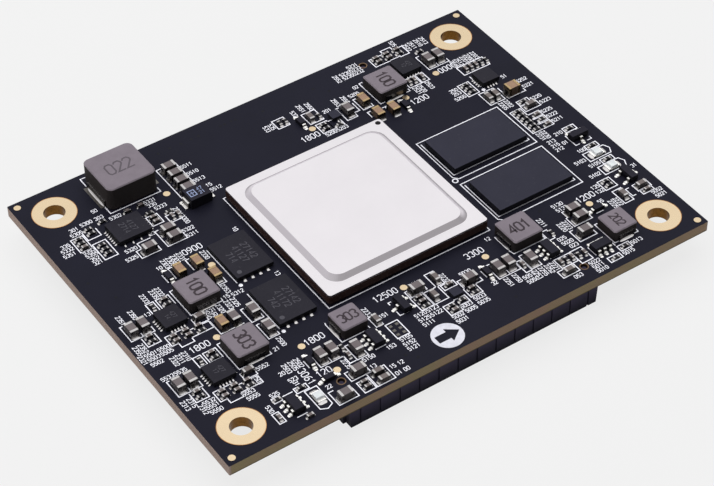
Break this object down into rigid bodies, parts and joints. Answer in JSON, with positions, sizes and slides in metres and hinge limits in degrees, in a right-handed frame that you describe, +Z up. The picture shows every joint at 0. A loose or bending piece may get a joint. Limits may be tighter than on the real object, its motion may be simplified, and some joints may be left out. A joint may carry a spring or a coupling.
{
  "type": "system on module",
  "caption": "Rectangular processor module: dark circuit board with a lidded processor, memory, flash and power parts, corner mounting holes and edge connectors underneath.",
  "frame": {"origin": "under the board's centre, on the plane of the connectors' mating ends, on which the module stands", "axes": "+X along the board's long side, +Y towards the rear connector, +Z up, out of the component side"},
  "size_m": [0.08, 0.06, 0.0097],
  "materials": {
    "solder_mask": "satin dark solder mask over glass-fibre laminate",
    "gold": "satin gold plating",
    "laminate": "dark brown package laminate",
    "silicon": "polished silicon",
    "lid_metal": "satin nickel plating",
    "solder": "bright solder",
    "memory_mould": "fine-grained moulding compound",
    "chip_mould": "fine-grained moulding compound",
    "ferrite": "pressed metal powder, satin grey",
    "tin": "tinned metal",
    "black_mould": "black moulding compound",
    "led_white": "white carrier",
    "led_clear": "clear resin",
    "grey_ceramic": "grey-tan fired ceramic",
    "gold_ceramic": "gold-brown fired ceramic",
    "brown_ceramic": "brown fired ceramic",
    "resistor_glaze": "black overglaze",
    "connector_plastic": "black moulded plastic"
  },
  "bodies": {
    "root": {"circuit_board": "solder_mask", "mounting_hole_plating": "gold", "test_pads": "gold", "processor_substrate": "laminate", "processor_die": "silicon", "processor_lid": "lid_metal", "processor_solder_balls": "solder", "memory_chip_1": "memory_mould", "memory_chip_2": "memory_mould", "memory_solder_balls": "solder", "flash_chip_1": "chip_mould", "flash_chip_2": "chip_mould", "flash_pads": "tin", "core_inductor": "ferrite", "core_inductor_clips": "tin", "rail_inductor_1": "ferrite", "rail_inductor_2": "ferrite", "rail_inductor_3": "ferrite", "rail_inductor_4": "ferrite", "rail_inductor_clips": "tin", "small_inductor_1": "ferrite", "small_inductor_2": "ferrite", "small_inductor_clips": "tin", "power_stage_chip": "chip_mould", "converter_chip_1": "chip_mould", "converter_chip_2": "chip_mould", "converter_chip_3": "chip_mould", "controller_chip": "chip_mould", "monitor_chips": "chip_mould", "leadless_chip_pads": "tin", "regulator_bodies": "black_mould", "regulator_leads": "tin", "transistor_bodies": "black_mould", "transistor_leads": "tin", "diode_bodies": "black_mould", "diode_leads": "tin", "input_diode_body": "black_mould", "input_diode_leads": "tin", "led_bases": "led_white", "led_lenses": "led_clear", "led_ends": "gold", "bulk_capacitors": "grey_ceramic", "bulk_capacitor_ends": "tin", "output_capacitors": "gold_ceramic", "output_capacitor_ends": "tin", "mid_capacitors": "brown_ceramic", "mid_capacitor_ends": "tin", "small_capacitors": "brown_ceramic", "small_capacitor_ends": "tin", "small_resistors": "resistor_glaze", "small_resistor_ends": "tin", "decoupling_capacitors": "brown_ceramic", "decoupling_capacitor_ends": "tin", "front_connector_housing": "connector_plastic", "front_connector_walls": "connector_plastic", "front_connector_contacts": "gold", "rear_connector_housing": "connector_plastic", "rear_connector_walls": "connector_plastic", "rear_connector_contacts": "gold"}
  },
  "joints": []
}
